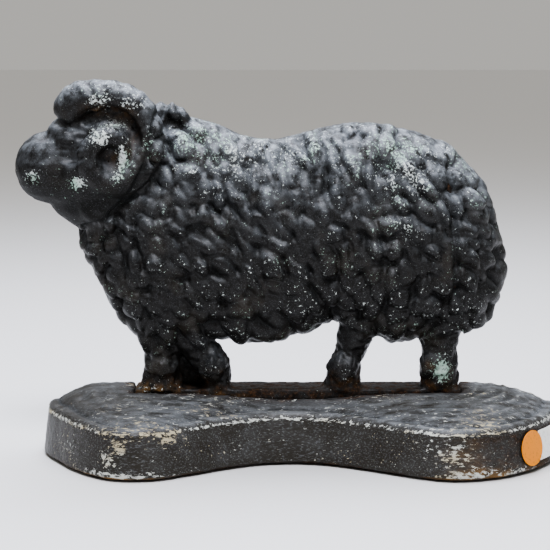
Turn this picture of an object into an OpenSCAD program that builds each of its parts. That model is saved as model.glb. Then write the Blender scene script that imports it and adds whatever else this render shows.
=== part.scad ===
// Ram door stop: a flat-backed iron ram standing on a heavy base with two round lobes.
// X runs along the length with the head at -X. The flat back is the +Y face.
// Z is up from the floor under the pads. The origin is the middle of the footprint.

/* [Base casting] */
// Length of the base along its back
base_l = 292; // [250:1:352]
// Depth of the base through its lobes, back to front
base_w = 75; // [64:1:90]
// Depth of the base at its narrow waist
waist_w = 39.5; // [35:0.5:46]
// Height of the base's rim above the floor
rim_h = 26.5; // [24:0.5:32]
// Rise of the base's top from the rim to its back edge
mound_h = 12; // [10:0.5:16]
// How far the side leans in from its foot to the rim
draft = 3; // [1:0.5:5]
// Thickness of the base's walls and ceiling
base_wall = 5.5; // [4:0.5:8]

/* [Ram casting] */
// Length of the ram from nose to rump
ram_l = 269.5; // [225:0.5:324]
// Height of the ram from its hoofs to the top of its horn
ram_h = 170.5; // [142:0.5:205]
// Depth of the ram's body, forward of its flat back
ram_d = 38; // [32:0.5:46]
// How far the nose reaches past the left end of the base
head_reach = 11; // [5:1:25]
// Thickness of the hollow body's wall
ram_wall = 5; // [4:0.5:7]
// Depth of the foot rail that joins the hoofs
rail_w = 21; // [19:0.5:25]
// Thickness of the foot rail
rail_h = 8.5; // [7:0.5:10]
// Gap between the foot rail and the rebate it drops into
rail_gap = 0.4; // [0.2:0.1:1]

/* [Screws and washers] */
// Diameter of the two screws that hold the ram down
screw_d = 6.35; // [5:0.05:8]
// Length of a screw under its head
screw_l = 32; // [30:0.5:34]
// Diameter of a screw's cheese head
head_d = 10; // [9:0.5:12]
// Height of a screw's cheese head
head_h = 4.5; // [3.5:0.5:5]
// Width of the screwdriver slot
slot_w = 1.6; // [1:0.1:2]
// Depth of the screwdriver slot
slot_depth = 2; // [1:0.1:2.5]
// Gap all round a screw in the base
screw_gap = 0.4; // [0.2:0.05:0.8]
// Gap all round a screw in its tapped hole
thread_gap = 0.1; // [0.05:0.05:0.2]
// Depth left empty beyond a screw's tip
tip_room = 1.5; // [1:0.5:2]
// Outer diameter of a washer
washer_d = 14; // [13:0.5:16]
// Thickness of a washer
washer_t = 1.2; // [0.8:0.1:1.6]
// Height of the screw bosses' lower faces above the floor
boss_z = 12; // [11:0.5:14]
// Diameter of the bosses that the screws pass through
boss_d = 18; // [16:0.5:22]

/* [Felt pads and stickers] */
// Diameter of a felt pad
pad_d = 16; // [12:0.5:18]
// Thickness of a felt pad
pad_t = 1.2; // [0.8:0.1:3]
// How much wider a pad's boss is than the pad
pad_margin = 2; // [1:0.5:4]
// Diameter of the round price sticker
dot_d = 19; // [15:0.5:22]
// Length of the white label
label_l = 33; // [28:0.5:37]
// Height of the white label
label_h = 16; // [12:0.5:18]
// How far the label's end runs under the round sticker
label_tuck = 3; // [2:0.5:6]
// Thickness of the sticker paper
paper_t = 0.3; // [0.2:0.05:0.5]

/* [Hidden] */

cut = 1;                                // how far a cutting shape runs past what it cuts
iron_black = "#2b2d31";
base_x0 = (head_reach - base_l) / 2;    // left end of the base
nose_x = base_x0 - head_reach;          // tip of the nose
back_y = base_w / 2;                    // the flat back
crest_z = rim_h + mound_h;              // top of the base along its back, and of the foot rail
seat_z = crest_z - rail_h;              // floor of the rebate

// The front of the base as [along its length, forward of its back], drawn 292 long:
// a round lobe at each end and a waist between them.
drawn_base_l = 292;
drawn_waist = 39.5;
drawn_lobe = 74.5;
front_line = [[0, 4], [2, 18], [9, 32], [20, 50], [31, 63], [43, 71.5], [56, 74], [69, 72], [85, 63],
              [105, 50], [122, 42], [140, 39.5], [158, 42], [179, 52], [203, 66.5], [223, 74.5],
              [244, 71], [263, 60], [280, 41], [289, 22], [292, 6]];
run_out = [32, 45];                     // where the mound dies away at the left and right ends

// The ram's body as [along, underside, top, depth], drawn 275 long and 171.5 tall from its
// hoofs, with the depth as a share of ram_d.
drawn_ram = [275, 171.5];
body_rows = [[34, 80, 98, 0.3], [38, 72, 112, 0.55], [44, 61, 125, 0.7], [51, 46, 136, 0.8],
             [58, 37, 143, 0.86], [66, 28, 148, 0.9], [72, 19, 151, 0.93], [82, 18, 152, 0.95],
             [93, 21, 151, 0.95], [104, 26, 149, 0.95], [116, 26, 145, 0.95], [126, 24, 140.5, 0.95],
             [141, 25, 138, 0.96], [152, 28, 139.5, 0.97], [165, 32, 143, 0.97], [181, 38, 146.5, 0.98],
             [195, 34, 147.5, 1], [204, 28, 146.5, 1], [211, 24, 145, 1], [222, 26, 143, 1],
             [231, 30, 140, 1], [243, 33, 133, 0.97], [252, 32, 125, 0.9], [258, 32, 119, 0.82],
             [266, 37, 106, 0.66], [271, 47, 93, 0.46], [275, 62, 74, 0.15]];

// Tapered tubes as [along, up, forward, radius]: the horn's outer roll and inner coil, the tuft
// of wool behind it, and the four legs.
horn_roll = [[27, 150, 24, 5], [31, 154, 25, 9.5], [38, 161, 26, 10], [48, 162, 28, 9.4],
             [58, 162, 29, 9], [67, 159, 30, 8.6], [73, 153, 31, 8.4], [76, 145, 32, 8.2],
             [76, 136, 33, 8], [73, 127, 34, 7.8], [67, 120, 35, 7.6], [60, 116, 36, 7.4],
             [52, 117, 37, 7.2], [46, 123, 38, 7]];
horn_coil = [[48, 119, 37.5, 5], [45, 124, 38, 7.1], [44, 131, 38, 6.8], [47, 137, 38, 6.4],
             [52, 141, 37.5, 6], [58, 141, 37, 5.6], [62, 137, 36.5, 5.2], [62, 131.5, 36.5, 4.8],
             [58.5, 128, 36.5, 3]];
tuft_line = [[76, 146, 13, 4], [81, 150, 13.5, 8], [87, 152, 13.5, 9], [93, 148, 13, 7], [97, 143, 12, 3]];
leg_lines = [
    [[81, 48, 14, 6], [80.5, 34, 14, 10], [80.5, 18, 13, 9.6], [80.5, 9, 12.5, 10], [80, -1, 13, 12.4]],
    [[90, 46, 14, 6], [94, 34, 14, 10], [101, 23, 13.5, 10], [108, 14, 13, 10], [111, 5, 12.5, 7.5],
     [111.5, -1, 12.5, 8]],
    [[200, 58, 14, 6], [194, 42, 14, 11], [190, 28, 13, 10], [187, 19, 12.5, 8.2], [184, 7, 12.5, 9.6],
     [183, -1, 12.5, 11]],
    [[241, 58, 14, 6], [239, 42, 14, 11], [238, 20, 13, 10], [238, 12, 12.5, 10.4], [238, 5, 12.5, 11],
     [237, -1, 12.5, 10.6]]];
rail_ends = [65, 250];                  // along the ram, past the first and last hoofs
web_ends = [80, 110];                   // along the ram: the web between the two front legs
web_top = 26;                           // and how far up it reaches, into the body
screw_legs = [81, 238];                 // along the ram: a screw rises into the first and last legs
screw_w = 11;                           // forward of the back: the middle of the legs
pad_spots = [[56, 61], [223, 61], [22, 16], [270, 16]]; // on the drawn base: front pair, back pair

// Smooth curve through rows of numbers, with steps points from one row to the next.
function blend_rows(a, b, c, d, t) =
    0.5 * (2 * b + (c - a) * t + (2 * a - 5 * b + 4 * c - d) * t * t + (3 * b - a - 3 * c + d) * t * t * t);
function curve(rows, steps) = let(n = len(rows) - 1) [
    for (i = [0:n - 1], s = [0:steps - 1])
        blend_rows(rows[max(i - 1, 0)], rows[i], rows[i + 1], rows[min(i + 2, n)], s / steps),
    rows[n]];

// Places: from the drawn base and the drawn ram to the model.
function base_x(u) = base_x0 + u * base_l / drawn_base_l;
function base_depth(w) = w < drawn_waist ? w * waist_w / drawn_waist
    : waist_w + (w - drawn_waist) * (base_w - waist_w) / (drawn_lobe - drawn_waist);
function ram_x(u) = nose_x + u * ram_l / drawn_ram[0];
function ram_z(v) = crest_z + v * ram_h / drawn_ram[1];
function ram_y(w) = back_y - w;
function ram_point(p) = [ram_x(p[0]), ram_y(p[2]), ram_z(p[1])];

base_front = [for (p = curve(front_line, 3)) [base_x(p[0]), base_depth(p[1])]];
rail_l = ram_x(rail_ends[1]) - ram_x(rail_ends[0]);
screw_top = boss_z - washer_t + screw_l; // a screw's tip, up in its leg
screw_spots = [for (u = screw_legs) [ram_x(u), ram_y(screw_w)]];
dot_at = 52;                            // the point of base_front that the round sticker centres on
label_shift = (dot_d + label_l) / 2 - label_tuck; // from there to the label's middle
pad_places = [for (p = pad_spots) [base_x(p[0]), back_y - base_depth(p[1])]];

// A closed skin over a row of rings that each have the same number of points.
module skin(rings) {
    m = len(rings[0]);
    last = len(rings) - 1;
    sides = [for (i = [0:last - 1], j = [0:m - 1], half = [0, 1])
        let(k = (j + 1) % m, a = i * m + j, b = i * m + k, c = (i + 1) * m + k, d = (i + 1) * m + j)
        half == 0 ? [a, b, c] : [a, c, d]];
    caps = [concat([0], [for (j = [m - 1:-1:1]) j]), [for (j = [0:m - 1]) last * m + j]];
    polyhedron(points = [for (r = rings, p = r) p], faces = concat(sides, caps), convexity = 8);
}

// ---- base ----

// Which way is inwards at point i of the base's front line.
function inward(i) = let(
    a = base_front[max(i - 1, 0)], b = base_front[min(i + 1, len(base_front) - 1)], d = b - a)
    [d[1], -d[0]] / norm(d);
function mound_at(x) = mound_h * min(
    sin(min(90, 90 * max(0, x - base_x0 - draft) / run_out[0])),
    sin(min(90, 90 * max(0, base_x0 + base_l - draft - x) / run_out[1])));
// One slice of the base from its back over the foot, the rim and the mound, grown outwards by grow.
function base_ring(i, grow) = let(
    foot = base_front[i] - inward(i) * grow,
    rim = base_front[i] + inward(i) * (draft - grow),
    rim_w = max(rim[1], 1.2 + grow))
    concat([[foot[0], back_y, pad_t], [foot[0], back_y - foot[1], pad_t]],
        [[rim[0], back_y - rim_w, rim_h - 1.5 + grow]],
        [for (t = [0.04, 0.2, 0.4, 0.6, 0.8, 1])
            [rim[0], back_y - rim_w * (1 - t), rim_h + grow + mound_at(rim[0]) * sin(90 * t)]]);
module base_solid(grow = 0) {
    skin([for (i = [0:len(base_front) - 1]) base_ring(i, grow)]);
}
module base_plan() {
    polygon(concat([[base_front[0][0], back_y]], [for (p = base_front) [p[0], back_y - p[1]]],
        [[base_front[len(base_front) - 1][0], back_y]]));
}
module base_hollow() {
    translate([0, 0, pad_t - cut]) linear_extrude(rim_h - base_wall - pad_t + cut)
        offset(delta = -base_wall) base_plan();
}
module pillar(place, d, z0, z1) {
    translate([place[0], place[1], z0]) cylinder(d = d, h = z1 - z0, $fn = 64);
}
module base_casting() {
    color(iron_black) difference() {
        union() {
            difference() {
                base_solid();
                base_hollow();
            }
            for (p = screw_spots) pillar(p, boss_d, boss_z, rim_h - base_wall / 2);
            for (p = pad_places) pillar(p, pad_d + pad_margin, pad_t, rim_h - base_wall / 2);
        }
        translate([ram_x(rail_ends[0]) - rail_gap, ram_y(rail_w) - rail_gap, seat_z])
            cube([rail_l + 2 * rail_gap, rail_w + rail_gap + cut, rail_h + mound_h]);
        for (p = screw_spots) pillar(p, screw_d + 2 * screw_gap, boss_z - cut, seat_z + cut);
        for (p = screw_spots) pillar(p, max(washer_d, head_d) + 2 * screw_gap, pad_t - cut, boss_z);
    }
}

// ---- ram ----

// One D-shaped slice of the body, with its wall's thickness taken off all round and at the front.
function body_ring(row, off) = let(
    low = ram_z(row[1]) + off, high = ram_z(row[2]) - off,
    mid = (low + high) / 2, half = (high - low) / 2, deep = row[3] * ram_d - off)
    concat([for (a = [-90:12:90])
            [ram_x(row[0]), ram_y(deep * pow(max(cos(a), 0), 0.6)), mid + half * sin(a)]],
        off > 0 ? [[ram_x(row[0]), ram_y(-cut), high], [ram_x(row[0]), ram_y(-cut), low]] : []);
body_slices = curve(body_rows, 2);
module body_solid() {
    skin([for (row = body_slices) body_ring(row, 0)]);
}
module body_hollow() {
    skin([for (row = body_slices) if (row[3] > 0.75) body_ring(row, ram_wall)]);
}

// A tapered tube along rows of [along, up, forward, radius].
module tube(rows, sides = 12) {
    n = len(rows) - 1;
    centres = [for (r = rows) ram_point(r)];
    skin([for (i = [0:n]) let(
        d = centres[min(i + 1, n)] - centres[max(i - 1, 0)],
        across = [-d[2], 0, d[0]] / norm([d[0], d[2]]))
        [for (j = [0:sides - 1]) let(a = 360 * j / sides)
            centres[i] + rows[i][3] * (cos(a) * across + sin(a) * [0, 1, 0])]]);
}
// The head's balls are joined in pairs: muzzle to neck, jaw to throat, forehead to crown.
head_balls = [[[20, 123.5, 14, 20], [52, 122, 14, 27]],
              [[34, 109, 12, 16], [52, 108, 12, 25]],
              [[30, 140, 18, 12], [62, 140, 14, 22]]];
module head_solid(off = 0) {
    for (pair = head_balls) hull() for (b = pair)
        translate(ram_point(b)) sphere(r = b[3] - off, $fn = 20);
}
module behind_back() {
    translate([nose_x - cut, back_y, 0]) cube([ram_l, ram_d, crest_z + ram_h + cut]);
}
module rail() {
    translate([ram_x(rail_ends[0]), ram_y(rail_w), seat_z])
        cube([rail_l, rail_w, rail_h]);
}
// The thin web behind the gap between the two front legs.
module leg_web() {
    translate([ram_x(web_ends[0]), ram_y(ram_wall), seat_z + cut])
        cube([ram_x(web_ends[1]) - ram_x(web_ends[0]), ram_wall, ram_z(web_top) - seat_z - cut]);
}
module figure() {
    difference() {
        union() {
            body_solid();
            head_solid();
        }
        body_hollow();
        head_solid(ram_wall);
        behind_back();
    }
    tube(curve(horn_roll, 2));
    tube(curve(horn_coil, 2));
    tube(curve(tuft_line, 2));
    for (line = leg_lines) tube(curve(line, 3));
    leg_web();
}
// The figure is brought to its exact length from the nose, then stands in its rail.
module ram_casting() {
    color(iron_black) difference() {
        union() {
            translate([nose_x, 0, 0]) resize([ram_l, 0, 0]) translate([-nose_x, 0, 0]) figure();
            rail();
        }
        for (p = screw_spots) pillar(p, screw_d + 2 * thread_gap, seat_z - cut, screw_top + tip_room);
    }
}

// ---- fastenings, pads and stickers ----

module screw(place) {
    under_head = boss_z - washer_t;
    color("#8d8f90") difference() {
        union() {
            pillar(place, screw_d, under_head - cut, screw_top);
            pillar(place, head_d, under_head - head_h, under_head);
        }
        translate([place[0], place[1], under_head - head_h])
            cube([head_d + cut, slot_w, 2 * slot_depth], center = true);
    }
}
module washer(place) {
    color("#a3a4a2") difference() {
        pillar(place, washer_d, boss_z - washer_t, boss_z);
        pillar(place, screw_d + 2 * screw_gap, boss_z - washer_t - cut, boss_z + cut);
    }
}
module felt_pad(place) {
    color("#4a4a46") pillar(place, pad_d, 0, pad_t);
}
// Sticker paper wraps the base's side: what a straight cutter keeps of a thin skin over it.
function apart(i) = norm(base_front[i] - base_front[dot_at]);
function label_next(i) = apart(i) >= label_shift ? i : label_next(i + 1);
label_at = label_next(dot_at + 1) - 1 + (label_shift - apart(label_next(dot_at + 1) - 1))
    / (apart(label_next(dot_at + 1)) - apart(label_next(dot_at + 1) - 1));
module wrapped(s) {
    i = floor(s);
    place = base_front[i] * (1 - s + i) + base_front[i + 1] * (s - i);
    out = -(inward(i) * (1 - s + i) + inward(i + 1) * (s - i));
    translate([place[0], back_y - place[1], (rim_h + pad_t) / 2])
        rotate([0, 0, atan2(-out[1], out[0])]) children();
}
module sticker(i) {
    intersection() {
        difference() {
            base_solid(paper_t);
            base_solid();
        }
        wrapped(i) children();
    }
}
module dot_cutter() {
    hull() rotate([0, 90, 0]) cylinder(d = dot_d, h = 20, center = true, $fn = 48);
}
module price_dot() {
    color("#f5a733") sticker(dot_at) dot_cutter();
}
// The dot is stuck over the label's end, so the label stops at the dot's edge.
module price_label() {
    color("#f1f1ee") difference() {
        sticker(label_at) cube([20, label_l, label_h], center = true);
        wrapped(dot_at) dot_cutter();
    }
}

ram_casting();
base_casting();
screw(screw_spots[0]);  // figure_screw_left
screw(screw_spots[1]);  // figure_screw_right
washer(screw_spots[0]);  // screw_washer_left
washer(screw_spots[1]);  // screw_washer_right
felt_pad(pad_places[0]);  // felt_pad_front_left
felt_pad(pad_places[1]);  // felt_pad_front_right
felt_pad(pad_places[2]);  // felt_pad_back_left
felt_pad(pad_places[3]);  // felt_pad_back_right
price_dot();
price_label();
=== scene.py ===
# Ram door stop: the looks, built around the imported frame.
import math
import bpy
import numpy as np
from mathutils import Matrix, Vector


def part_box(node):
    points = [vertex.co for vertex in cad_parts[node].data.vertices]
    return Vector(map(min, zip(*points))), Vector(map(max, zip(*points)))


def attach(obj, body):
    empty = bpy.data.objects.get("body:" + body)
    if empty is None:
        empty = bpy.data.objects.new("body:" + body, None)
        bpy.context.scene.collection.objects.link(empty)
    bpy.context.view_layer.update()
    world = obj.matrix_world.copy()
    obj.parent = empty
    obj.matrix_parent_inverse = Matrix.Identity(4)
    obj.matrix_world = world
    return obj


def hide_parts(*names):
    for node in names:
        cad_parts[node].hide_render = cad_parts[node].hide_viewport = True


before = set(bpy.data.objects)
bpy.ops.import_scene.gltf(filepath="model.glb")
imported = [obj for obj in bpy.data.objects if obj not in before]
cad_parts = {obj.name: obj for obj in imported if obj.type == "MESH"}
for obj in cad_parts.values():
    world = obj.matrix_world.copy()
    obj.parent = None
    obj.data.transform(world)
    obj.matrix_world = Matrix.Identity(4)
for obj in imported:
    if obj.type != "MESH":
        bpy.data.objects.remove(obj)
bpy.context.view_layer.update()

MM = 0.001


# ---- Camera ----
# It stands 0.85 m in front of the ram and a little above it, tipped down at the base.
bpy.ops.object.select_all(action="DESELECT")
camera_tip = 8.57
bpy.ops.object.camera_add(location=(-9.7 * MM, -846 * MM, 232.5 * MM),
                          rotation=(math.radians(90 - camera_tip), 0, 0))
camera = bpy.context.object
camera.data.sensor_width = 36
camera.data.lens = 104.2
camera.data.clip_start = 0.05
bpy.context.scene.camera = camera
bpy.context.scene.view_settings.look = "AgX - Medium High Contrast"


# ---- Floor, air and lamps ----
# A pale matt floor under pale air, a broad cool lamp overhead and a weak warm one in front.
def from_hex(code):
    """An sRGB hex colour as linear red, green, blue and alpha."""
    parts = [int(code[i:i + 2], 16) / 255 for i in (1, 3, 5)]
    return [p / 12.92 if p <= 0.04045 else ((p + 0.055) / 1.055) ** 2.4 for p in parts] + [1.0]


def new_material(name, colour, roughness, metallic=0.0):
    """A node material, and its shader."""
    material = bpy.data.materials.new(name)
    material.use_nodes = True
    shader = material.node_tree.nodes["Principled BSDF"]
    shader.inputs["Base Color"].default_value = from_hex(colour)
    shader.inputs["Roughness"].default_value = roughness
    shader.inputs["Metallic"].default_value = metallic
    return material, shader


def add_node(material, kind, links, out=0, **settings):
    """Adds a node with its settings and its inputs, which are values, hex colours or sockets."""
    node = material.node_tree.nodes.new(kind)
    for key, value in settings.items():
        setattr(node, key, value)
    for key, value in links.items():
        if isinstance(value, bpy.types.NodeSocket):
            material.node_tree.links.new(value, node.inputs[key])
        else:
            node.inputs[key].default_value = from_hex(value) if isinstance(value, str) else value
    return node.outputs[out]


def add_lamp(name, place, aim, size, power, colour):
    """A square area lamp at a place in metres, turned to face a point."""
    bpy.ops.object.light_add(type="AREA", location=place)
    lamp = bpy.context.object
    lamp.name = name
    lamp.data.size = size
    lamp.data.energy = power
    lamp.data.color = from_hex(colour)[:3]
    away = [place[i] - aim[i] for i in range(3)]
    tip = math.atan2(math.hypot(away[0], away[1]), away[2])
    lamp.rotation_euler = (tip, 0, math.atan2(away[0], -away[1]))


bpy.ops.mesh.primitive_plane_add(size=14, location=(0, 3, 0))
floor = bpy.context.object
floor.name = "floor"
floor_paint, shader = new_material("pale_matt_floor", "#d2d1d0", 0.85)
floor.data.materials.append(floor_paint)

world = bpy.data.worlds.new("pale_air")
bpy.context.scene.world = world
world.use_nodes = True
backdrop = world.node_tree.nodes["Background"]
backdrop.inputs["Color"].default_value = from_hex("#c3c1bd")
# The air lights from above and is dim at the sides; seen straight, it is an even pale grey.
way = add_node(world, "ShaderNodeTexCoord", {}, out=0)
upness = add_node(world, "ShaderNodeSeparateXYZ", {0: way}, out=2)
glow = add_node(world, "ShaderNodeMapRange", {0: upness, 1: 0.1, 2: 1.0, 3: 0.12, 4: 1.7})
seen = add_node(world, "ShaderNodeLightPath", {}, out=0)
strength = add_node(world, "ShaderNodeMix", {0: seen, 2: glow, 3: 0.8}, data_type="FLOAT")
world.node_tree.links.new(strength, backdrop.inputs["Strength"])

add_lamp("overhead_lamp", (-0.10, 0.25, 1.00), (0, 0.0, 0.1), 0.7, 20, "#eaf0ff")
add_lamp("upper_front_lamp", (0.02, -0.55, 1.05), (0, 0, 0.12), 0.3, 12.5, "#f4f6ff")
add_lamp("front_fill", (0.35, -1.5, 0.55), (0, 0, 0.1), 1.0, 1.2, "#fff4e6")


# ---- Base casting ----
# Grey iron, cast hollow in sand and painted black. Its rim is rubbed, its top is dressed in lines
# that follow the outline, and its front has lost its paint in patches.
front_line = [(0, 4), (2, 18), (9, 32), (20, 50), (31, 63), (43, 71.5), (56, 74), (69, 72), (85, 63),
              (105, 50), (122, 42), (140, 39.5), (158, 42), (179, 52), (203, 66.5), (223, 74.5),
              (244, 71), (263, 60), (280, 41), (289, 22), (292, 6)]
base_low, base_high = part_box("base_casting")
base_x0 = base_low[0] / MM
back_y = base_high[1] / MM
crest_z = base_high[2] / MM
mound_h = 12
line_gap = 7.4                                   # between the lines on the top
rim_z = crest_z - mound_h
foot_z = base_low[2] / MM
draft = 3
base_grain, ram_grain = 1.1, 1.06                # how fine the two castings' meshes are
rail_low, rail_high = (-88, 16.2), (97, 38)      # the foot rail, seen from above


def pick(*pieces):
    """Selects only these objects, the last one active."""
    bpy.ops.object.select_all(action="DESELECT")
    for piece in pieces:
        piece.select_set(True)
    bpy.context.view_layer.objects.active = pieces[-1]


def copy_of_node(node_name, name):
    """A new object with the CAD node's mesh, its loose triangles merged."""
    piece = bpy.data.objects.new(name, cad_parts[node_name].data.copy())
    bpy.context.collection.objects.link(piece)
    piece.data.materials.clear()
    pick(piece)
    bpy.ops.object.mode_set(mode="EDIT")
    bpy.ops.mesh.select_all(action="SELECT")
    bpy.ops.mesh.remove_doubles(threshold=0.005 * MM)
    bpy.ops.object.mode_set(mode="OBJECT")
    return piece


def use_modifier(piece, kind, **settings):
    """Adds a modifier with these settings and applies it."""
    pick(piece)
    modifier = piece.modifiers.new(kind.lower(), kind)
    for key, value in settings.items():
        setattr(modifier, key, value)
    bpy.ops.object.modifier_apply(modifier=modifier.name)


def places_of(piece):
    """The mesh's points, in millimetres, and its normals."""
    n = len(piece.data.vertices)
    points, normals = np.empty(n * 3), np.empty(n * 3)
    piece.data.vertices.foreach_get("co", points)
    piece.data.vertex_normals.foreach_get("vector", normals)
    return points.reshape(-1, 3) / MM, normals.reshape(-1, 3)


def move_to(piece, points):
    """Puts the mesh's points at new places, in millimetres."""
    piece.data.vertices.foreach_set("co", (points * MM).ravel())
    piece.data.update()


def store(piece, name, values):
    """Keeps a number from 0 to 1 for each point, for the material."""
    layer = piece.data.attributes.new(name, "FLOAT", "POINT")
    layer.data.foreach_set("value", np.clip(values, 0, 1).astype(np.float32))


def ease(low, high, values):
    """0 below low, 1 above high and a smooth rise between them."""
    t = np.clip((values - low) / (high - low), 0, 1)
    return t * t * (3 - 2 * t)


def wobble(points, size, seed):
    """A smooth field of about -1 to 1 that varies over this many millimetres."""
    rng = np.random.default_rng(seed)
    total = np.zeros(len(points))
    for _ in range(7):
        wave = rng.normal(size=3)
        wave *= 2 * math.pi / size / np.linalg.norm(wave) * rng.uniform(0.6, 1.6)
        total += np.sin(points @ wave + rng.uniform(0, 2 * math.pi))
    return total / 3


def roughen(piece, size, depth, seed):
    """Lumps of the moulding sand, of this size and depth in millimetres."""
    texture = bpy.data.textures.new(f"sand_lumps_{seed}", "CLOUDS")
    texture.noise_scale = size * MM
    texture.noise_depth = 2
    use_modifier(piece, "DISPLACE", texture=texture, texture_coords="LOCAL", strength=depth * MM,
                 mid_level=0.5)


def spots_on(points, spots):
    """How deep each point is in round places, given as x, z, half width, half height and strength."""
    deep = np.zeros(len(points))
    for x, z, half_w, half_h, strength in spots:
        apart = ((points[:, 0] - x) / half_w) ** 2 + ((points[:, 2] - z) / half_h) ** 2
        deep = np.maximum(deep, strength * np.exp(-apart))
    return deep


def smooth_line(rows, steps):
    """A Catmull-Rom curve through rows of numbers."""
    rows = np.array(rows, float)
    ends = np.vstack([rows[0], rows, rows[-1]])
    out = []
    for i in range(len(rows) - 1):
        a, b, c, d = ends[i:i + 4]
        for t in np.arange(steps) / steps:
            out.append(0.5 * (2 * b + (c - a) * t + (2 * a - 5 * b + 4 * c - d) * t ** 2
                              + (3 * b - a - 3 * c + d) * t ** 3))
    return np.array(out + [rows[-1]])


line_steps = 14                                  # points drawn between two given ones
drawn = smooth_line(front_line, line_steps)
depth_of = drawn[:, 1] + np.maximum(drawn[:, 1] - 39.5, 0) / 70
foot_line = np.column_stack([base_x0 + drawn[:, 0], back_y - depth_of])

base = copy_of_node("base_casting", "painted_base")
use_modifier(base, "REMESH", mode="VOXEL", voxel_size=base_grain * MM)
use_modifier(base, "SMOOTH", factor=0.5, iterations=4)
points, normals = places_of(base)
inset = np.full(len(points), 1e9)
for x, y in foot_line[::2]:
    inset = np.minimum(inset, np.hypot(points[:, 0] - x, points[:, 1] - y))

top = ease(0.35, 0.75, normals[:, 2]) * ease(rim_z - 6, rim_z - 2, points[:, 2])
from_rail = np.maximum(np.maximum(rail_low[0] - points[:, 0], points[:, 0] - rail_high[0]),
                       rail_low[1] - points[:, 1])
fade = top * ease(0, 3, from_rail) * ease(draft, draft + 2.5, inset)
sweep = wobble(points, 60, 3)
lip = np.exp(-((inset - 5.6) / 1.7) ** 2)
groove = np.exp(-((inset - 9.6 - 0.6 * sweep) / 1.4) ** 2)
lines = np.sin((inset + 2.2 * sweep + 0.9 * wobble(points, 17, 5)) * 2 * math.pi / line_gap)
lines = 2 * (0.5 + 0.5 * lines) ** 2.2 - 1
lines_fade = ease(9, 13, inset) * (0.6 + 0.4 * wobble(points, 38, 4))
points[:, 2] += fade * (0.5 * lip - 0.95 * groove + 0.34 * lines * lines_fade)
move_to(base, points)
roughen(base, 10, 0.7, 11)
roughen(base, 2.6, 0.3, 12)
points, normals = places_of(base)

front_facing = ease(0.1, 0.5, -normals[:, 1])
base_spots = [(-98, 12, 5, 6, 0.7), (-91, 19, 4, 4, 0.8), (-91, 3, 26, 3, 0.75), (-67, 22, 5, 3, 0.8),
              (84, 15, 11, 9, 0.6), (93, 4, 18, 4, 0.75), (-122, 12, 8, 9, 0.3), (115, 2.5, 16, 3, 0.7),
              (70, 18, 8, 8, 0.3), (-29, 14, 5, 4, 0.3)]
store(base, "raised", fade * (0.55 + 0.45 * lines * lines_fade) + 0.4 * lip * fade)
# Painted shade: the grooves and valleys of the top's lines, and a painted shadow of the ram along the foot
# rail.
store(base, "hollow", fade * np.maximum(groove, np.maximum(0, -lines) * lines_fade * 0.6)
      + (1 - ease(2, 6, from_rail)) * top * 0.5)
# Where the painted sheen goes: the top and, in patches, the front side, weakened at the left end.
on_side = front_facing * 0.28 * (0.5 + wobble(points, 26, 6)) * ease(2, 8, points[:, 2])
left_end = 1 - ease(-125, -70, points[:, 0])
on_top = ease(0.2, 0.9, normals[:, 2]) * (points[:, 2] > rim_z - 4)
store(base, "upward", (1 - 0.75 * left_end) * np.maximum(on_top, on_side))
store(base, "patch", spots_on(points, base_spots) * front_facing)
store(base, "rubbed", np.exp(-((inset - draft - 0.3) / 0.8) ** 2) * ease(rim_z - 3, rim_z - 1.2, points[:, 2])
      + 0.8 * np.exp(-((points[:, 2] - foot_z) / 1.2) ** 2) * front_facing)
inner = ease(0.2, 0.6, -normals[:, 2]) + ease(0.5, 1.5, inset - draft - 1.5) * (points[:, 2] < rim_z - 4)
brown_end = 0.7 * ease(70, 110, points[:, 0]) * (points[:, 2] < rim_z - 3) * front_facing
by_rail = 1 - ease(0.5, 7, from_rail + 3 * sweep)
store(base, "rust_and_shade", np.maximum.reduce([brown_end, by_rail, np.clip(inner, 0, 1)]))
store(base, "bare", np.clip(inner, 0, 1))

# Old black oil paint over sand-cast iron. Where it is whole it is satin and nearly black; where it
# faces up it carries a painted blue-grey sheen, a painted highlight, and it has chipped down to a chalky pale
# primer.
SOFT = {"interpolation_type": "SMOOTHSTEP"}      # a threshold with soft edges
COLOURS = {"data_type": "RGBA"}                   # a mix of two colours
PAINT_PLACES = ("raised", "hollow", "upward", "patch", "rubbed", "rust_and_shade", "bare")


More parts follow.
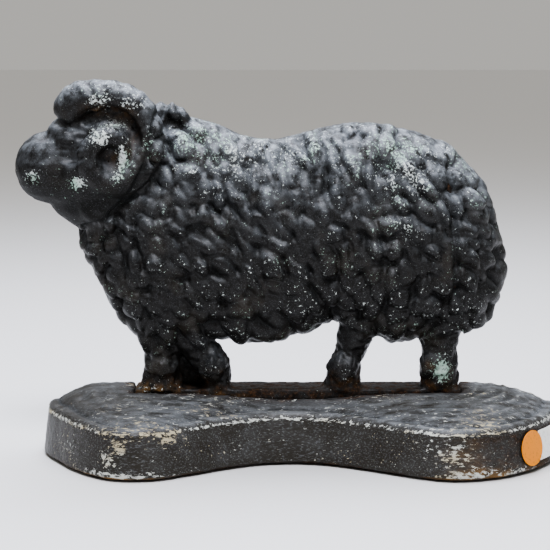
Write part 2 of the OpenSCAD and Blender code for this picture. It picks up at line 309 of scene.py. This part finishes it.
def worn_paint(name, paint, dust_and_sheen, chips, chip_level, painted_sheen_share, dusty, stretch):
    """The paint on one casting: its colours, how much chips, painted sheen and dust it has, and how far
    its marks are drawn out along X, Y and Z."""
    material, shader = new_material(name, paint, 0.4)
    where = add_node(material, "ShaderNodeTexCoord", {}, out=3)
    where = add_node(material, "ShaderNodeVectorMath", {0: where, 1: stretch}, operation="MULTIPLY")
    shader.inputs["Specular IOR Level"].default_value = 0.24
    raised, hollow, upward, patch, rubbed, rust_and_shade, bare = [
        add_node(material, "ShaderNodeAttribute", {}, out=2, attribute_name=key) for key in PAINT_PLACES]
    # Noise sizes: stains 20 mm, mottling 5 mm, chips 1.6 mm, specks 1.2 mm, sand grain 0.7 mm.
    stain, mottle, chip, speck, grain = [
        add_node(material, "ShaderNodeTexNoise",
                 {"Vector": where, "Scale": 1 / (size * MM), "Detail": detail, "Roughness": rough})
        for size, detail, rough in ((20, 3, 0.55), (5, 4, 0.6), (1.6, 5, 0.7), (1.2, 3, 0.6), (0.7, 2, 0.6))]
    # Brownish dirt in the stains, and painted shade, near black, in the hollows.
    dirt = add_node(material, "ShaderNodeMapRange", {0: stain, 1: 0.48, 2: 0.7}, **SOFT)
    colour = add_node(material, "ShaderNodeMix", {0: dirt, 6: paint, 7: "#241f19"}, out=2, **COLOURS)
    colour = add_node(material, "ShaderNodeMix", {0: hollow, 6: colour, 7: "#090806"}, out=2, **COLOURS)
    # A painted sheen, a blue-grey painted highlight, lies on what faces up, most on its high places.
    high = add_node(material, "ShaderNodeMath", {0: raised, 1: 0.65, 2: 0.35}, operation="MULTIPLY_ADD")
    lit = add_node(material, "ShaderNodeMath", {0: upward, 1: high}, operation="MULTIPLY")
    cloudy = add_node(material, "ShaderNodeMapRange", {0: mottle, 1: 0.3, 2: 0.66}, **SOFT)
    share = add_node(material, "ShaderNodeMath", {0: lit, 1: cloudy}, operation="MULTIPLY")
    share = add_node(material, "ShaderNodeMath", {0: share, 1: painted_sheen_share}, operation="MULTIPLY")
    # Fine dust has caught all over in the sand grain.
    dust = add_node(material, "ShaderNodeMapRange", {0: grain, 1: 0.5, 2: 0.68, 3: 0.0, 4: dusty},
                    **SOFT)
    share = add_node(material, "ShaderNodeMath", {0: share, 1: dust}, operation="ADD", use_clamp=True)
    colour = add_node(material, "ShaderNodeMix", {0: share, 6: colour, 7: dust_and_sheen}, out=2, **COLOURS)
    # Rust and tan dust round the feet and on the rail, in clots. On the ram the same dark rust colours also
    # paint the shade in the gaps of the horn's coil.
    clots = add_node(material, "ShaderNodeMapRange", {0: mottle, 1: 0.35, 2: 0.65}, **SOFT)
    clotted_rust_and_shade = add_node(material, "ShaderNodeMath", {0: clots, 1: rust_and_shade}, operation="MULTIPLY")
    crumbs = add_node(material, "ShaderNodeMapRange", {0: chip, 1: 0.42, 2: 0.66}, **SOFT)
    rust_colour = add_node(material, "ShaderNodeMix", {0: crumbs, 6: "#130b06", 7: "#4a3320"}, out=2,
                           **COLOURS)
    rust_colour = add_node(material, "ShaderNodeMix", {0: patch, 6: rust_colour, 7: "#a98049"}, out=2,
                           **COLOURS)
    colour = add_node(material, "ShaderNodeMix", {0: clotted_rust_and_shade, 6: colour, 7: rust_colour}, out=2, **COLOURS)
    # Chips: where the chip noise, helped by the worn places, passes a level. Specks lie all over,
    # thickest on what faces up.
    level = add_node(material, "ShaderNodeMath", {0: patch, 1: 0.29, 2: chip}, operation="MULTIPLY_ADD")
    level = add_node(material, "ShaderNodeMath", {0: rubbed, 1: 0.21, 2: level}, operation="MULTIPLY_ADD")
    flecks = add_node(material, "ShaderNodeMath", {0: lit, 1: 0.12, 2: speck}, operation="MULTIPLY_ADD")
    flecks = add_node(material, "ShaderNodeMath", {0: patch, 1: 0.06, 2: flecks}, operation="MULTIPLY_ADD")
    gather = add_node(material, "ShaderNodeMapRange", {0: stain, 1: 0.3, 2: 0.7, 3: -0.1, 4: 0.035})
    flecks = add_node(material, "ShaderNodeMath", {0: flecks, 1: gather}, operation="ADD")
    level = add_node(material, "ShaderNodeMath", {0: level, 1: flecks}, operation="MAXIMUM")
    level = add_node(material, "ShaderNodeMath", {0: bare, 1: -0.25, 2: level}, operation="MULTIPLY_ADD")
    chipped = add_node(material, "ShaderNodeMapRange", {0: level, 1: chip_level, 2: chip_level + 0.04},
                       **SOFT)
    pale = add_node(material, "ShaderNodeMapRange", {0: stain, 1: 0.47, 2: 0.62}, **SOFT)
    chip_colour = add_node(material, "ShaderNodeMix", {0: pale, 6: chips[0], 7: chips[1]}, out=2, **COLOURS)
    colour = add_node(material, "ShaderNodeMix", {0: chipped, 6: colour, 7: chip_colour}, out=2, **COLOURS)
    material.node_tree.links.new(colour, shader.inputs["Base Color"])
    # Chips and rust are dull, the hollows with painted shade half dull, whole paint is satin.
    dull = add_node(material, "ShaderNodeMath", {0: chipped, 1: clotted_rust_and_shade}, operation="MAXIMUM")
    dull = add_node(material, "ShaderNodeMath", {0: hollow, 1: 0.5, 2: dull}, operation="MULTIPLY_ADD",
                    use_clamp=True)
    rough = add_node(material, "ShaderNodeMapRange", {0: dull, 1: 0.0, 2: 1.0, 3: 0.28, 4: 0.85})
    rough = add_node(material, "ShaderNodeMath", {0: grain, 1: 0.16, 2: rough}, operation="MULTIPLY_ADD")
    material.node_tree.links.new(rough, shader.inputs["Roughness"])
    # Grain of the sand mould under the paint, and the thickness of the paint round each chip.
    height = add_node(material, "ShaderNodeMath", {0: grain, 1: 0.5, 2: mottle}, operation="MULTIPLY_ADD")
    height = add_node(material, "ShaderNodeMath", {0: chipped, 1: -0.35, 2: height}, operation="MULTIPLY_ADD")
    bumps = add_node(material, "ShaderNodeBump", {"Height": height, "Strength": 0.75, "Distance": 0.45 * MM})
    material.node_tree.links.new(bumps, shader.inputs["Normal"])
    return material


# The grey #82868a is the painted sheen, which the fine dust shares.
base.data.materials.append(worn_paint("black_oil_paint_on_cast_iron_base", "#2d2a25", "#82868a",
                                      ("#c4c6c0", "#b3a98f"), 0.66, 0.7, 0.3, (0.35, 1.2, 1)))
pick(base)
bpy.ops.object.shade_smooth()
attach(base, "root")
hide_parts("base_casting")


# ---- Ram casting ----
# Grey iron, cast as one hollow flat-backed half relief with its foot rail and painted black. The
# fleece is carved in fat overlapping locks; the head, horn and legs are smooth.
ram_low, ram_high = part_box("ram_casting")
nose_x = ram_low[0] / MM
hoof_z = crest_z
across = (ram_high[0] - ram_low[0]) / MM / 275
upright = (ram_high[2] / MM - hoof_z) / 171.5
ram_depth = 38

ram = copy_of_node("ram_casting", "painted_ram")


def add_lump(place, radii, tilt=0):
    """A ball at [along, up, forward] of the drawn ram, squashed to these radii and tilted sideways."""
    bpy.ops.mesh.primitive_uv_sphere_add(segments=24, ring_count=14)
    lump = bpy.context.object
    lump.scale = [r * MM for r in radii]
    lump.rotation_euler = (0, math.radians(tilt), 0)
    lump.location = ((nose_x + place[0] * across) * MM, (back_y - place[2]) * MM,
                     (hoof_z + place[1] * upright) * MM)
    bpy.ops.object.transform_apply(location=True, rotation=True, scale=True)
    return lump


lumps = [add_lump((32, 139.5, 26), (8.5, 8, 6), 25),         # brow
         add_lump((16, 117, 24), (9.5, 7, 8), 20),           # side of the muzzle
         add_lump((36, 112, 24), (10, 8, 7), -20),           # cheek
         add_lump((50, 97, 28), (15, 9, 7), 30),             # jaw
         add_lump((38.5, 104.5, 17), (13, 11, 12), 35),          # chin
         add_lump((80.5, 3, 17), (8, 5.5, 11)),              # hoofs
         add_lump((113, 6, 16), (7.5, 6, 9), 20),
         add_lump((183, 4, 17), (9, 5.5, 10), -10),
         add_lump((238, 4, 17), (9, 5.5, 10)),
         add_lump((183.5, 11, 17), (8.5, 9, 9.5)),           # fetlocks
         add_lump((235.5, 13, 17), (9, 9, 9.5)),
         add_lump((109.5, 12.5, 18), (9, 8, 8.5)),
         add_lump((81, 12, 17), (9, 8.5, 8))]
pick(*lumps, ram)
bpy.ops.object.join()
use_modifier(ram, "REMESH", mode="VOXEL", voxel_size=ram_grain * MM)
use_modifier(ram, "SMOOTH", factor=0.5, iterations=6)
points, normals = places_of(ram)
u = (points[:, 0] - nose_x) / across
v = (points[:, 2] - hoof_z) / upright
w = back_y - points[:, 1]

body_rows = [(34, 80, 98, 0.3), (44, 61, 125, 0.7), (58, 37, 143, 0.86), (72, 19, 151, 0.93),
             (93, 21, 151, 0.95), (116, 26, 145, 0.95), (141, 25, 138, 0.96), (165, 32, 143, 0.97),
             (181, 38, 146.5, 0.98), (204, 28, 146.5, 1), (222, 26, 143, 1), (243, 33, 133, 0.97),
             (258, 32, 119, 0.82), (266, 37, 106, 0.66), (275, 62, 74, 0.15)]
rows = np.array(body_rows).T
under, over, share = [np.interp(u, rows[0], rows[i]) for i in (1, 2, 3)]
middle = (under + over) / 2
deep = share * ram_depth
outward = ((v - middle) * normals[:, 2] / np.maximum((over - under) / 2, 5)
           - w * normals[:, 1] / np.maximum(deep, 5))
rolled = middle + np.sign(v - middle) * np.sqrt((v - middle) ** 2 + 0.8 * np.maximum(deep - w, 0) ** 2)
# The fleece stops behind the horn and the cheek, above the legs, and short of the flat back.
head_edge = np.interp(points[:, 2], [128, 134, 150, 165, 185, 205], [-120, -100, -83, -77, -72, -64])
fleece = (ease(-1, 2.5, points[:, 0] - head_edge) * ease(-2, 3, v - under) * ease(0.02, 0.25, outward)
          * ease(1.0, 5.0, w))

# Which way the locks run, as [along, up, direction in degrees, length, width].
flow = np.array([
    (100, 140, -60, 20, 11), (115, 130, -70, 20, 10), (98, 118, -50, 16, 9), (112, 108, -80, 16, 10),
    (90, 100, -45, 14, 9), (75, 85, -60, 12, 9), (50, 75, -80, 9, 8), (60, 50, -75, 9, 7),
    (80, 35, -80, 9, 8), (100, 40, -60, 10, 8), (95, 80, -30, 20, 8), (120, 85, -35, 20, 8),
    (145, 80, -40, 20, 9), (120, 60, -35, 18, 8), (150, 60, -45, 16, 9), (140, 40, -50, 12, 9),
    (135, 125, -95, 24, 7), (150, 122, -90, 26, 7), (165, 125, -88, 26, 7.5), (180, 125, -85, 26, 8),
    (200, 130, -75, 24, 8), (220, 125, -65, 22, 9), (238, 112, -60, 20, 9), (175, 95, -60, 16, 10),
    (195, 95, -50, 16, 10), (215, 95, -20, 16, 11), (235, 90, -50, 14, 10), (200, 70, -120, 13, 10),
    (220, 65, -80, 12, 10), (236, 60, -90, 12, 10), (180, 60, -70, 12, 10), (200, 45, -100, 11, 9),
    (225, 42, -90, 10, 9), (258, 112, -70, 16, 10), (263, 95, -60, 14, 11), (264, 85, -20, 14, 9),
    (264, 65, -30, 14, 9), (260, 48, -80, 14, 10)])


def flow_at(x, y):
    """The direction, length and width of the lock at a place, from the flow guides near it."""
    near = 1 / ((flow[:, 0] - x) ** 2 + (flow[:, 1] - y) ** 2 + 60) ** 1.5
    turn = np.radians(flow[:, 2])
    angle = math.atan2((near * np.sin(turn)).sum(), (near * np.cos(turn)).sum())
    return angle, (near * flow[:, 3]).sum() / near.sum(), (near * flow[:, 4]).sum() / near.sum()


rng = np.random.default_rng(26)
locks = []
for _ in range(9000):
    x, y = rng.uniform(34, 278), rng.uniform(5, 185)
    angle, length, width = flow_at(x, y)
    scale = 1.3 - 0.42 * ease(25, 85, np.array(y))   # larger towards the belly
    length, width = scale * length, scale * width
    clear = True
    if locks:
        kept = np.array(locks)
        dx, dy = kept[:, 0] - x, kept[:, 1] - y
        along = dx * math.cos(angle) + dy * math.sin(angle)
        aside = -dx * math.sin(angle) + dy * math.cos(angle)
        clear = ((along / (0.72 * length)) ** 2 + (aside / (0.7 * width)) ** 2).min() > 1
    if clear:
        locks.append((x, y, angle + rng.normal(0, 0.17), length * rng.uniform(0.85, 1.2),
                      width * rng.uniform(0.85, 1.2), rng.uniform(-0.3, 0.3), rng.uniform(0.75, 1.3)))

lift = np.zeros(len(points))
wander_u, wander_v = u + 1.3 * wobble(points, 17, 31), rolled + 1.3 * wobble(points, 17, 32)
for x, y, angle, length, width, bend, tall in locks:
    dx, dy = wander_u - x, wander_v - y
    near = (np.abs(dx) < length) & (np.abs(dy) < length) & (fleece > 0)
    dx, dy = dx[near], dy[near]
    along = (dx * math.cos(angle) + dy * math.sin(angle)) / (0.62 * length)
    aside = (-dx * math.sin(angle) + dy * math.cos(angle)) / (0.58 * width) + bend * along ** 2
    crown = np.clip(1 - aside ** 2 - np.abs(along) ** 2.2, 0, 1) ** 0.6
    lift[near] = np.maximum(lift[near], tall * width * 0.74 * crown * (0.74 + 0.26 * np.clip(along, -1, 1)))

raised = lift / 5.5
# Towards the outline the locks die away into a smooth edge.
calm = (0.4 + 0.6 * ease(0.05, 0.65, -normals[:, 1])) * (0.7 + 0.3 * ease(70, 120, points[:, 2]))
push = (calm * (lift - 3.1) + 0.9 * wobble(points, 30, 33)) * fleece
# The fleece ends in a cleft round the head.
collar = np.exp(-((points[:, 0] - head_edge + 1.5) / 2.2) ** 2) * ease(0.02, 0.25, outward) * ease(3, 8, w)
collar *= ease(122, 130, points[:, 2])
push -= 2.8 * collar
# The cleft that parts the tail from the haunch.
tail_x = np.interp(points[:, 2], [90, 165], [89, 85])
tail_cleft = np.exp(-((points[:, 0] - tail_x) / 2.4) ** 2)
tail_cleft *= ease(84, 94, points[:, 2]) * (1 - ease(158, 170, points[:, 2]))
push -= 3.2 * tail_cleft * fleece
# Eye, nostrils, mouth, cheek and the eye of the horn, pressed in or pushed out from the front.
face_marks = [(-119, 168.5, 5.5, 4, -4.2), (-108, 188, 4, 3.5, -2), (-104, 191.5, 4, 3, -2.6),
              (-100, 192.3, 4, 3, -3), (-95.5, 191, 4, 3, -3), (-91.5, 189, 3.6, 3.4, -3),
              (-88, 186, 3.4, 3.6, -2.8), (-85.5, 182, 3.2, 4, -2.6), (-83.5, 177, 3, 4.5, -2.4),
              (-140.5, 157, 3.6, 2.8, -2.2), (-126, 160, 4, 9, -2.6), (-97.5, 167.5, 4.5, 4.5, -5),
              (-108, 168, 2.5, 8, -1.5), (-117, 141, 2, 8, -1.0)]
facing = ease(0.2, 0.6, -normals[:, 1]) * (w > 8)
for x, z, half_w, half_h, height in face_marks:
    push += facing * height * np.exp(-((points[:, 0] - x) / half_w) ** 2 - ((points[:, 2] - z) / half_h) ** 2)
# Knobbly legs, from the belly to the hoofs.
legs = ease(hoof_z, hoof_z + 4, points[:, 2]) * (1 - ease(68, 80, points[:, 2])) * (1 - fleece) * (w > 2)
push += legs * (0.7 * wobble(points, 9, 41) + 0.4 * wobble(points, 5, 42))
# Growth rings across the horn.
ring_x, ring_z = points[:, 0] + 97, points[:, 2] - 176
horn = ease(12, 16, np.hypot(ring_x, ring_z)) * (1 - fleece) * ease(19, 23, w) * ease(150, 165, points[:, 2])
push += horn * 0.35 * np.sin(np.arctan2(ring_z, ring_x) * 22 + 1.2 * wobble(points, 25, 8))
points += normals * push[:, None]
move_to(ram, points)
use_modifier(ram, "SMOOTH", factor=0.3, iterations=1)
roughen(ram, 6, 0.8, 21)
roughen(ram, 2.2, 0.35, 22)

smooth_normals = normals
points, normals = places_of(ram)
ram_spots = [(-140.4, 157.2, 5, 4.5, 0.75), (-115, 154.8, 5, 4.5, 0.95), (-102.5, 179, 7, 6, 0.8),
             (-96, 185, 7, 4, 0.6), (-90.5, 167, 4, 9, 0.95), (-93.3, 158, 4, 4, 0.8), (-103, 198, 8, 6, 0.7),
             (-86, 197, 12, 6, 0.45), (-77, 180, 3, 12, 0.4), (82, 50, 5.5, 7, 1.0),
             (-30, 164, 20, 12, 0.42), (-79, 38, 13, 5, 0.42), (-36, 33, 9, 3, 0.4),
             (52, 160, 22, 12, 0.36), (66, 154, 7, 9, 0.5), (0, 170, 14, 9, 0.42), (-58, 180, 12, 9, 0.3),
             (-3, 112, 5, 4, 0.35), (60, 128, 8, 6, 0.3), (-45, 50, 6, 6, 0.3), (30, 48, 6, 6, 0.25)]
in_front = ease(0.0, 0.4, -normals[:, 1])
upper = ease(75, 180, points[:, 2])
face = (1 - fleece) * (1 - ease(176, 190, points[:, 2])) * ease(110, 125, points[:, 2])
wide_up = ease(-0.15, 0.75, smooth_normals[:, 2])
fine_up = ease(-0.1, 0.8, normals[:, 2])
inside = (outward < -0.02) * (w > 1) * (normals[:, 1] > -0.1)
behind = ease(0.3, 0.8, normals[:, 1]) * (w < 3) + inside
store(ram, "raised", np.where(fleece > 0.3, raised, 0.6))
# Painted shade: near black in the grooves between the locks, in the tail cleft and the collar, and on the
# lower face, where shade falls.
store(ram, "hollow", (1 - ease(0.3, 2.3, lift)) * fleece * 0.95 + 0.8 * tail_cleft * fleece + 0.7 * collar
      + 0.9 * face * (1 - ease(145, 168, points[:, 2])))
# Where the painted sheen goes: what faces up, more on the upper body, less on the face and by the hoofs, as
# if lit from above.
store(ram, "upward", np.clip((0.2 + 0.8 * upper) * (0.6 * wide_up + 0.6 * fine_up), 0, 1)
      * (1 - 0.5 * face) * (1 - 0.8 * face * (1 - ease(145, 165, points[:, 2])))
      * (0.2 + 0.8 * ease(hoof_z + 4, hoof_z + 22, points[:, 2])))
store(ram, "patch", spots_on(points, ram_spots) * ease(0.0, 0.4, -normals[:, 1] + 0.4 * normals[:, 2]))
store(ram, "rubbed", 0.35 * ease(0.6, 1.0, raised) * fleece)
# Painted shade in the gap under the horn's outer roll and in the eye of the horn, carried with the real rust
# round the hoofs and on the raw back.
painted_coil_shade = spots_on(points, [(-104, 191.5, 10, 3.5, 0.7), (-92, 190, 7, 4, 0.7), (-85, 181, 3.5, 8, 0.7),
                             (-97.5, 167.5, 4, 4, 0.6)]) * in_front
by_hoofs = 1 - ease(hoof_z - 1, hoof_z + 12, points[:, 2] + 5 * wobble(points, 18, 9))
store(ram, "rust_and_shade", np.maximum.reduce([painted_coil_shade, by_hoofs, np.clip(behind, 0, 1) * 0.8]))
store(ram, "bare", inside)
# Thinned where it is flattest, to stay under 200,000 triangles.
use_modifier(ram, "DECIMATE", ratio=0.75)
ram.data.materials.clear()
# The grey #92989e is the painted sheen, which the fine dust shares.
ram.data.materials.append(worn_paint("black_oil_paint_on_cast_iron_ram", "#110f0d", "#92989e",
                                     ("#ccd2cf", "#a3bcae"), 0.675, 0.8, 0.09, (1, 1, 1)))
pick(ram)
bpy.ops.object.shade_smooth()
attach(ram, "root")
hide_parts("ram_casting")


# ---- Screws and washers ----
# Two slotted steel screws hold the ram down from under the base, each on a plain steel washer.
# They are zinc plated, gone dull and grey, with a little rust bleeding through.
for slot_name, node_names, plate in (
        ("screw_steel", ("figure_screw_left", "figure_screw_right"), "#8c8f90"),
        ("washer_steel", ("screw_washer_left", "screw_washer_right"), "#9b9c99")):
    # Dull zinc: soft grey metal, blurred by a fine crust, freckled with rust about 1 mm across.
    zinc, shader = new_material("dull_zinc_plate_" + slot_name, plate, 0.5, metallic=1.0)
    where = add_node(zinc, "ShaderNodeTexCoord", {}, out=3)
    crust = add_node(zinc, "ShaderNodeTexNoise", {"Vector": where, "Scale": 1 / (1.2 * MM), "Detail": 4})
    freckle = add_node(zinc, "ShaderNodeMapRange", {0: crust, 1: 0.56, 2: 0.64}, **SOFT)
    colour = add_node(zinc, "ShaderNodeMix", {0: freckle, 6: plate, 7: "#5b3a22"}, out=2, **COLOURS)
    zinc.node_tree.links.new(colour, shader.inputs["Base Color"])
    rough = add_node(zinc, "ShaderNodeMapRange", {0: crust, 1: 0.35, 2: 0.65, 3: 0.4, 4: 0.75})
    zinc.node_tree.links.new(rough, shader.inputs["Roughness"])
    bumps = add_node(zinc, "ShaderNodeBump", {"Height": crust, "Strength": 0.3, "Distance": 0.1 * MM})
    zinc.node_tree.links.new(bumps, shader.inputs["Normal"])
    for node_name in node_names:
        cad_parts[node_name].material_slots[0].material = zinc


# ---- Felt pads ----
# Four discs of pressed grey wool felt, 1.2 mm thick, glued under the base. Their cut edges have
# furred and rounded.
def felt_disc(node_name, name):
    """A felt disc in the place of a CAD pad, bevelled, with its faces inset."""
    low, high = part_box(node_name)
    radius = (high[0] - low[0]) / 2
    thick = high[2] - low[2]
    bpy.ops.mesh.primitive_cylinder_add(vertices=56, radius=radius, depth=thick,
                                        location=[(low[i] + high[i]) / 2 for i in range(3)])
    disc = bpy.context.object
    disc.name = name
    bpy.ops.object.transform_apply(location=True, rotation=True, scale=True)
    use_modifier(disc, "BEVEL", width=thick * 0.35, segments=3, limit_method="ANGLE")
    bpy.ops.object.mode_set(mode="EDIT")
    bpy.ops.mesh.select_all(action="SELECT")
    bpy.ops.mesh.inset(thickness=radius * 0.3, use_select_inset=False)
    bpy.ops.object.mode_set(mode="OBJECT")
    return disc


# Pressed wool felt: matt, soft grey, with fibres about 0.15 mm wide drawn 0.4 mm wide to show.
felt, shader = new_material("pressed_wool_felt", "#4c4b47", 0.95)
shader.inputs["Sheen Weight"].default_value = 0.4
where = add_node(felt, "ShaderNodeTexCoord", {}, out=3)
fibre = add_node(felt, "ShaderNodeTexNoise",
                 {"Vector": where, "Scale": 1 / (0.4 * MM), "Detail": 3, "Distortion": 1.5})
colour = add_node(felt, "ShaderNodeMix", {0: fibre, 6: "#383733", 7: "#6a6862"}, out=2, **COLOURS)
felt.node_tree.links.new(colour, shader.inputs["Base Color"])
bumps = add_node(felt, "ShaderNodeBump", {"Height": fibre, "Strength": 0.6, "Distance": 0.2 * MM})
felt.node_tree.links.new(bumps, shader.inputs["Normal"])
for corner in ("front_left", "front_right", "back_left", "back_right"):
    disc = felt_disc("felt_pad_" + corner, "felt_disc_" + corner)
    disc.data.materials.append(felt)
    pick(disc)
    bpy.ops.object.shade_smooth_by_angle(angle=math.radians(50))
    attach(disc, "root")
    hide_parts("felt_pad_" + corner)


# ---- Stickers ----
# A round orange price sticker and a white paper label under its edge, pressed on the base's side
# at the right. The paper follows the side; their corners have begun to lift.
run = np.concatenate([[0], np.cumsum(np.hypot(*np.diff(foot_line, axis=0).T))])
dot_run = np.interp(17.333 * line_steps, np.arange(len(run)), run)
side_top = rim_z - 1.5


def stick(piece, run_at, z_at, gap, curl):
    """Lays a flat sheet, drawn in X and Y, on the base's side and bends its edges out by curl."""
    flat, _ = places_of(piece)
    along, z = run_at + flat[:, 0], z_at + flat[:, 1]
    x, y = [np.interp(along, run, foot_line[:, i]) for i in (0, 1)]
    ahead = [np.interp(along + 3, run, foot_line[:, i]) - np.interp(along - 3, run, foot_line[:, i])
             for i in (0, 1)]
    size = np.hypot(*ahead)
    out_x, out_y = ahead[1] / size, -ahead[0] / size
    lean = -draft * (z - foot_z) / (side_top - foot_z)
    reach = np.hypot(flat[:, 0], flat[:, 1]) / np.hypot(flat[:, 0], flat[:, 1]).max()
    off = lean + gap + curl * ease(0.82, 1, reach)
    move_to(piece, np.column_stack([x + out_x * off, y + out_y * off, z]))
    use_modifier(piece, "SOLIDIFY", thickness=0.22 * MM, offset=1)


dot_low, dot_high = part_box("price_dot")
dot_z = (dot_low[2] + dot_high[2]) / 2 / MM
dot_radius = (dot_high[2] - dot_low[2]) / 2
bpy.ops.mesh.primitive_circle_add(vertices=64, radius=dot_radius, fill_type="TRIFAN")
dot = bpy.context.object
dot.name = "orange_dot"
bpy.ops.object.mode_set(mode="EDIT")
bpy.ops.mesh.select_all(action="SELECT")
bpy.ops.mesh.subdivide(number_cuts=5)
bpy.ops.object.mode_set(mode="OBJECT")
stick(dot, dot_run, dot_z, 0.95, 0.25)

label_long, label_tall = 33, 16
bpy.ops.mesh.primitive_grid_add(x_subdivisions=33, y_subdivisions=16, size=1)
label = bpy.context.object
label.name = "white_label"
label.scale = (label_long * MM, label_tall * MM, 1)
bpy.ops.object.transform_apply(location=True, rotation=True, scale=True)
stick(label, dot_run + 23.4, dot_z, 0.6, 0.2)

# Coated paper: smooth and slightly glossy, with faint mottling from its fibres and scuffed dirt.
for piece, node_name, slot_name, tint, soiled in (
        (dot, "price_dot", "orange_paper", "#e48a00", "#c97600"),
        (label, "price_label", "white_paper", "#efefec", "#d8d6cf")):
    paper, shader = new_material("coated_" + slot_name, tint, 0.5)
    where = add_node(paper, "ShaderNodeTexCoord", {}, out=3)
    fibre = add_node(paper, "ShaderNodeTexNoise", {"Vector": where, "Scale": 1 / (1.5 * MM), "Detail": 4})
    dirt = add_node(paper, "ShaderNodeMapRange", {0: fibre, 1: 0.5, 2: 0.75}, **SOFT)
    colour = add_node(paper, "ShaderNodeMix", {0: dirt, 6: tint, 7: soiled}, out=2, **COLOURS)
    paper.node_tree.links.new(colour, shader.inputs["Base Color"])
    bumps = add_node(paper, "ShaderNodeBump", {"Height": fibre, "Strength": 0.15, "Distance": 0.05 * MM})
    paper.node_tree.links.new(bumps, shader.inputs["Normal"])
    piece.data.materials.append(paper)
    pick(piece)
    bpy.ops.object.shade_smooth_by_angle(angle=math.radians(40))
    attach(piece, "root")
    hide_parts(node_name)
